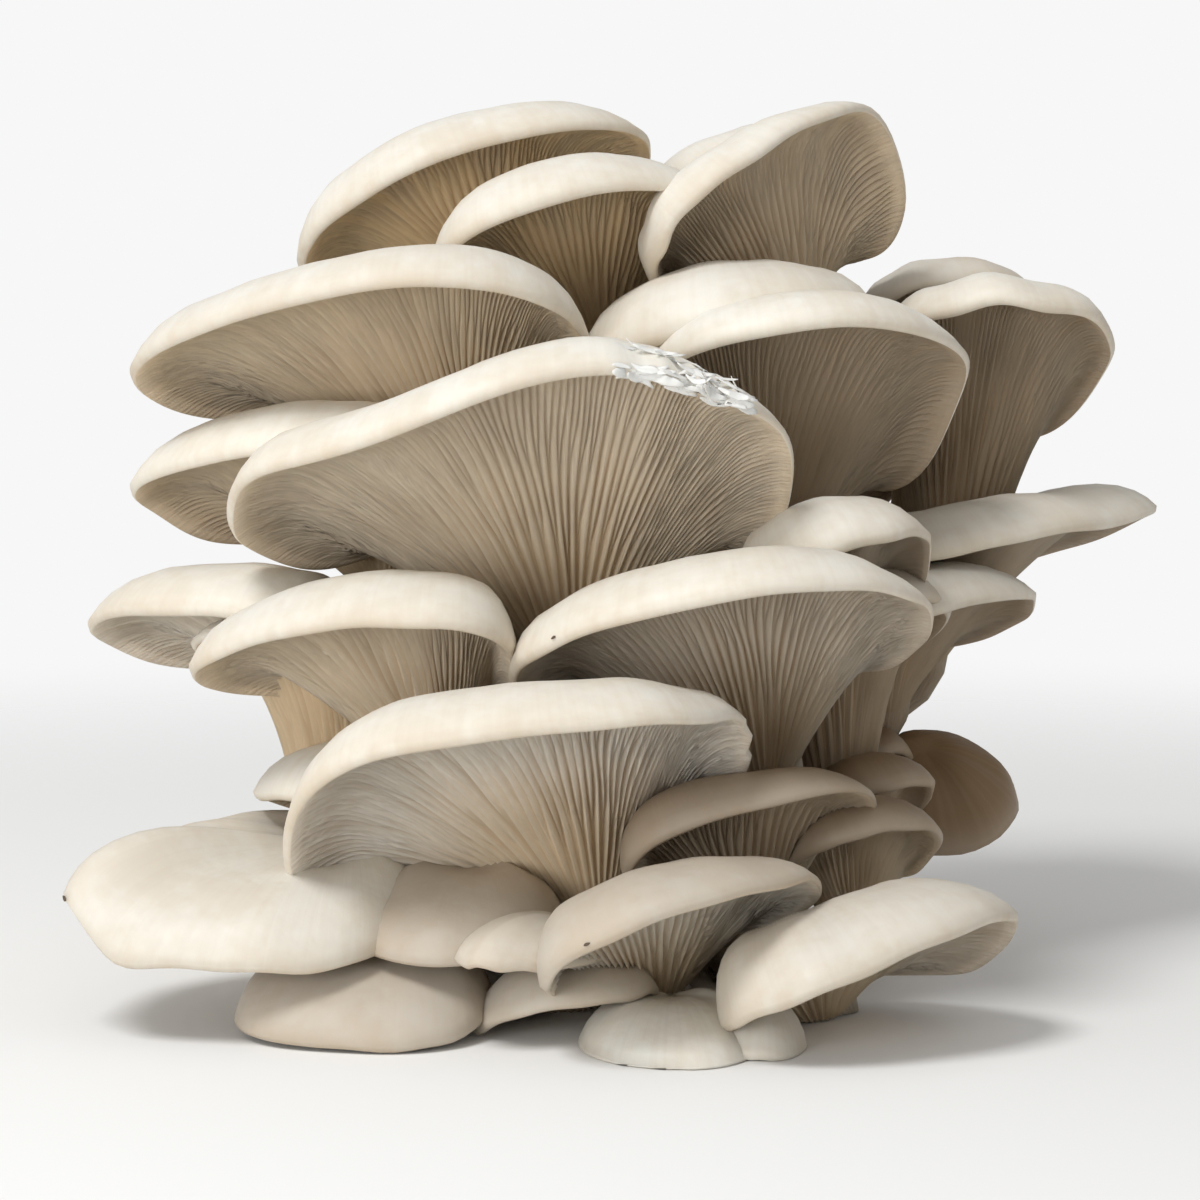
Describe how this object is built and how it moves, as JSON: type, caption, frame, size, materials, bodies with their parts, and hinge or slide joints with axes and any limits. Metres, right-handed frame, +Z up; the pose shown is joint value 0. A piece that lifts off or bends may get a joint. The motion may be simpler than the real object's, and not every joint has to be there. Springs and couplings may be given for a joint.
{
  "type": "oyster mushroom cluster",
  "caption": "Dense upright cluster of fan-shaped oyster mushrooms, tiers of overlapping gilled caps on curved stems grown from one solid butt with a flat cut base.",
  "frame": {"origin": "in the cut base, under the middle of the caps seen from the front and near the base's front edge", "axes": "+Z up, -Y the side that the caps and gills face, +X to the right seen from that side"},
  "size_m": [0.2135, 0.1585, 0.1701],
  "materials": {
    "mushroom": "dull cream skin with a faint sheen, paler thick margins, beige-grey gills",
    "butt": "dull off-white fibrous flesh"
  },
  "bodies": {
    "root": {"butt": "butt", "mushroom_01": "mushroom", "mushroom_02": "mushroom", "mushroom_03": "mushroom", "mushroom_04": "mushroom", "mushroom_05": "mushroom", "mushroom_06": "mushroom", "mushroom_07": "mushroom", "mushroom_08": "mushroom", "mushroom_09": "mushroom", "mushroom_10": "mushroom", "mushroom_11": "mushroom", "mushroom_12": "mushroom", "mushroom_13": "mushroom", "mushroom_14": "mushroom", "mushroom_15": "mushroom", "mushroom_16": "mushroom", "mushroom_17": "mushroom", "mushroom_18": "mushroom", "mushroom_19": "mushroom", "mushroom_20": "mushroom", "mushroom_21": "mushroom", "mushroom_22": "mushroom", "mushroom_23": "mushroom", "mushroom_24": "mushroom", "mushroom_25": "mushroom", "mushroom_26": "mushroom", "mushroom_27": "mushroom", "mushroom_28": "mushroom", "mushroom_29": "mushroom", "mushroom_30": "mushroom", "mushroom_31": "mushroom", "mushroom_32": "mushroom", "mushroom_33": "mushroom", "mushroom_34": "mushroom", "mushroom_35": "mushroom"}
  },
  "joints": []
}
